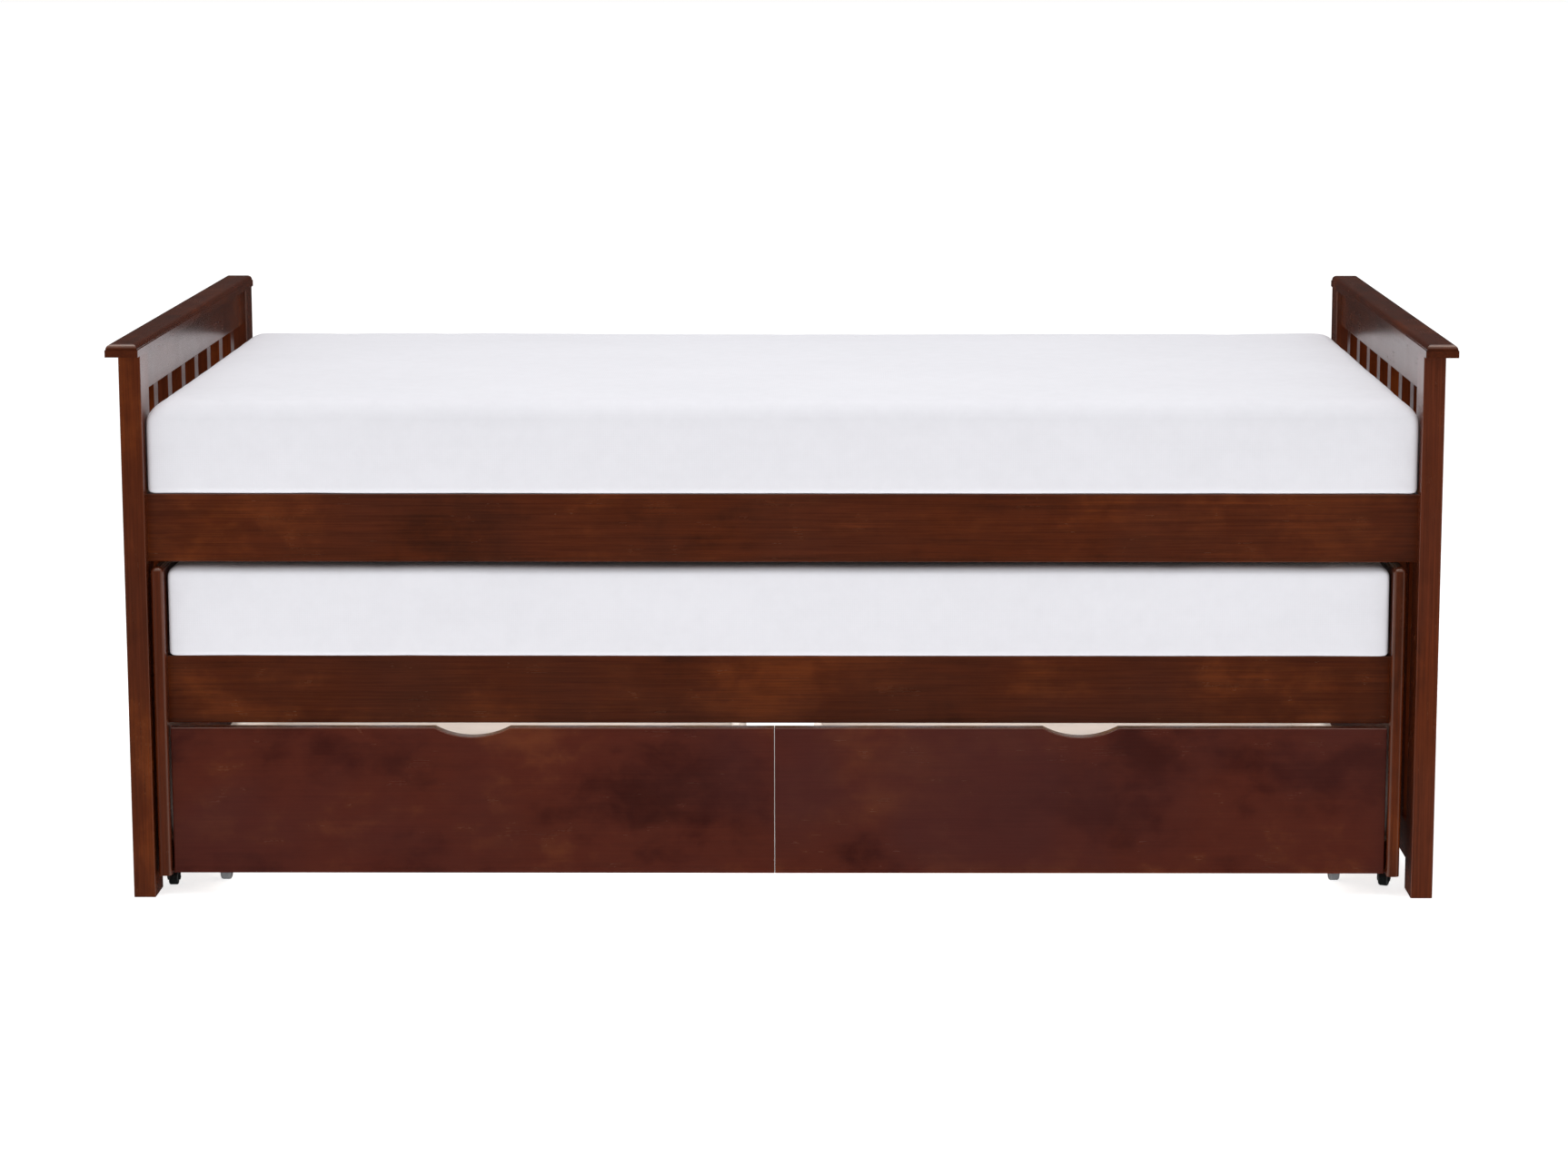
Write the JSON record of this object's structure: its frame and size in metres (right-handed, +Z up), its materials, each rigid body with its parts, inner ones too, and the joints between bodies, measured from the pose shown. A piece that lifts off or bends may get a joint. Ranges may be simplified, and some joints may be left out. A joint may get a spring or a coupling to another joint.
{
  "type": "trundle bed",
  "caption": "Twin bed with slatted end panels, a pull-out lower bed on casters and two wheeled storage drawers under it, with white mattresses.",
  "frame": {"origin": "on the floor at the centre of the bed's footprint", "axes": "+X along the bed's length to the right as seen from the front, +Y to the back, +Z up; the lower bed and the drawers pull out along -Y"},
  "size_m": [2.074, 1.109, 0.876],
  "materials": {
    "cherry_wood": "dark cherry stain under satin lacquer",
    "drawer_front_wood": "redder cherry stain under satin lacquer",
    "drawer_box_laminate": "cream laminate, satin",
    "slat_pine": "sanded, unfinished pine",
    "mattress_fabric": "matte white knitted ticking",
    "black_wheel": "black moulded plastic",
    "black_steel": "black enamelled pressed steel",
    "grey_wheel": "grey moulded plastic",
    "zinc_steel": "zinc plated"
  },
  "bodies": {
    "bed_frame": {"left_end_cap_rail": "cherry_wood", "left_end_foot_rail": "cherry_wood", "left_end_front_post": "cherry_wood", "left_end_mid_rail": "cherry_wood", "left_end_rear_post": "cherry_wood", "left_end_slats": "cherry_wood", "left_end_top_rail": "cherry_wood", "right_end_cap_rail": "cherry_wood", "right_end_foot_rail": "cherry_wood", "right_end_front_post": "cherry_wood", "right_end_mid_rail": "cherry_wood", "right_end_rear_post": "cherry_wood", "right_end_slats": "cherry_wood", "right_end_top_rail": "cherry_wood", "front_side_rail": "cherry_wood", "rear_side_rail": "cherry_wood", "rail_bolts": "zinc_steel", "barrel_nuts": "zinc_steel", "slat_cleats": "slat_pine", "bed_slats": "slat_pine", "slat_screws": "zinc_steel", "upper_mattress": "mattress_fabric"},
    "trundle": {"trundle_caster_plates": "black_steel", "trundle_cleats": "slat_pine", "trundle_front_rail": "cherry_wood", "trundle_left_board": "cherry_wood", "trundle_mattress": "mattress_fabric", "trundle_rear_rail": "cherry_wood", "trundle_right_board": "cherry_wood", "trundle_screws": "zinc_steel", "trundle_slats": "slat_pine", "trundle_stop_blocks": "cherry_wood"},
    "left_drawer": {"drawer_left_back": "drawer_box_laminate", "drawer_left_bottom": "drawer_box_laminate", "drawer_left_front": "drawer_front_wood", "drawer_left_inner_side": "drawer_box_laminate", "drawer_left_outer_side": "drawer_box_laminate", "drawer_left_wheel_brackets": "zinc_steel"},
    "left_drawer_front_outer_wheel": {"drawer_left_wheel_front_outer": "grey_wheel"},
    "left_drawer_front_inner_wheel": {"drawer_left_wheel_front_inner": "grey_wheel"},
    "left_drawer_rear_outer_wheel": {"drawer_left_wheel_rear_outer": "grey_wheel"},
    "left_drawer_rear_inner_wheel": {"drawer_left_wheel_rear_inner": "grey_wheel"},
    "right_drawer": {"drawer_right_back": "drawer_box_laminate", "drawer_right_bottom": "drawer_box_laminate", "drawer_right_front": "drawer_front_wood", "drawer_right_inner_side": "drawer_box_laminate", "drawer_right_outer_side": "drawer_box_laminate", "drawer_right_wheel_brackets": "zinc_steel"},
    "right_drawer_front_outer_wheel": {"drawer_right_wheel_front_outer": "grey_wheel"},
    "right_drawer_front_inner_wheel": {"drawer_right_wheel_front_inner": "grey_wheel"},
    "right_drawer_rear_outer_wheel": {"drawer_right_wheel_rear_outer": "grey_wheel"},
    "right_drawer_rear_inner_wheel": {"drawer_right_wheel_rear_inner": "grey_wheel"},
    "caster_front_left": {"caster_front_left_fork": "black_steel"},
    "caster_front_left_wheel": {"caster_front_left_wheel": "black_wheel"},
    "caster_front_right": {"caster_front_right_fork": "black_steel"},
    "caster_front_right_wheel": {"caster_front_right_wheel": "black_wheel"},
    "caster_rear_left": {"caster_rear_left_fork": "black_steel"},
    "caster_rear_left_wheel": {"caster_rear_left_wheel": "black_wheel"},
    "caster_rear_right": {"caster_rear_right_fork": "black_steel"},
    "caster_rear_right_wheel": {"caster_rear_right_wheel": "black_wheel"}
  },
  "joints": [
    {"name": "trundle_slide", "type": "slide", "parent": "bed_frame", "child": "trundle", "axis": [0, -1, 0], "range_m": [0, 1.1]},
    {"name": "left_drawer_slide", "type": "slide", "parent": "trundle", "child": "left_drawer", "axis": [0, -1, 0], "range_m": [0, 0.6]},
    {"name": "left_drawer_front_outer_wheel_spin", "type": "hinge", "parent": "left_drawer", "child": "left_drawer_front_outer_wheel", "pos_m": [-0.8925, -0.4245, 0.017], "axis": [1, 0, 0], "continuous": true},
    {"name": "left_drawer_front_inner_wheel_spin", "type": "hinge", "parent": "left_drawer", "child": "left_drawer_front_inner_wheel", "pos_m": [-0.0793, -0.3475, 0.017], "axis": [1, 0, 0], "continuous": true},
    {"name": "left_drawer_rear_outer_wheel_spin", "type": "hinge", "parent": "left_drawer", "child": "left_drawer_rear_outer_wheel", "pos_m": [-0.8925, 0.04, 0.017], "axis": [1, 0, 0], "continuous": true},
    {"name": "left_drawer_rear_inner_wheel_spin", "type": "hinge", "parent": "left_drawer", "child": "left_drawer_rear_inner_wheel", "pos_m": [-0.0793, 0.04, 0.017], "axis": [1, 0, 0], "continuous": true},
    {"name": "right_drawer_slide", "type": "slide", "parent": "trundle", "child": "right_drawer", "axis": [0, -1, 0], "range_m": [0, 0.6]},
    {"name": "right_drawer_front_outer_wheel_spin", "type": "hinge", "parent": "right_drawer", "child": "right_drawer_front_outer_wheel", "pos_m": [0.8795, -0.4245, 0.017], "axis": [1, 0, 0], "continuous": true},
    {"name": "right_drawer_front_inner_wheel_spin", "type": "hinge", "parent": "right_drawer", "child": "right_drawer_front_inner_wheel", "pos_m": [0.0533, -0.3475, 0.017], "axis": [1, 0, 0], "continuous": true},
    {"name": "right_drawer_rear_outer_wheel_spin", "type": "hinge", "parent": "right_drawer", "child": "right_drawer_rear_outer_wheel", "pos_m": [0.8795, 0.04, 0.017], "axis": [1, 0, 0], "continuous": true},
    {"name": "right_drawer_rear_inner_wheel_spin", "type": "hinge", "parent": "right_drawer", "child": "right_drawer_rear_inner_wheel", "pos_m": [0.0533, 0.04, 0.017], "axis": [1, 0, 0], "continuous": true},
    {"name": "caster_front_left_swivel", "type": "hinge", "parent": "trundle", "child": "caster_front_left", "pos_m": [-0.9715, -0.45, 0.031], "axis": [0, 0, 1], "continuous": true},
    {"name": "caster_front_left_wheel_spin", "type": "hinge", "parent": "caster_front_left", "child": "caster_front_left_wheel", "pos_m": [-0.97087, -0.45898, 0.0125], "axis": [0.9976, 0.0698, 0], "continuous": true},
    {"name": "caster_front_right_swivel", "type": "hinge", "parent": "trundle", "child": "caster_front_right", "pos_m": [0.9585, -0.45, 0.031], "axis": [0, 0, 1], "continuous": true},
    {"name": "caster_front_right_wheel_spin", "type": "hinge", "parent": "caster_front_right", "child": "caster_front_right_wheel", "pos_m": [0.95513, -0.45834, 0.0125], "axis": [0.9272, -0.3746, 0], "continuous": true},
    {"name": "caster_rear_left_swivel", "type": "hinge", "parent": "trundle", "child": "caster_rear_left", "pos_m": [-0.9715, 0.45, 0.031], "axis": [0, 0, 1], "continuous": true},
    {"name": "caster_rear_left_wheel_spin", "type": "hinge", "parent": "caster_rear_left", "child": "caster_rear_left_wheel", "pos_m": [-0.96963, 0.4412, 0.0125], "axis": [0.9781, 0.2079, 0], "continuous": true},
    {"name": "caster_rear_right_swivel", "type": "hinge", "parent": "trundle", "child": "caster_rear_right", "pos_m": [0.9585, 0.45, 0.031], "axis": [0, 0, 1], "continuous": true},
    {"name": "caster_rear_right_wheel_spin", "type": "hinge", "parent": "caster_rear_right", "child": "caster_rear_right_wheel", "pos_m": [0.95617, 0.44131, 0.0125], "axis": [0.9659, -0.2588, 0], "continuous": true}
  ]
}
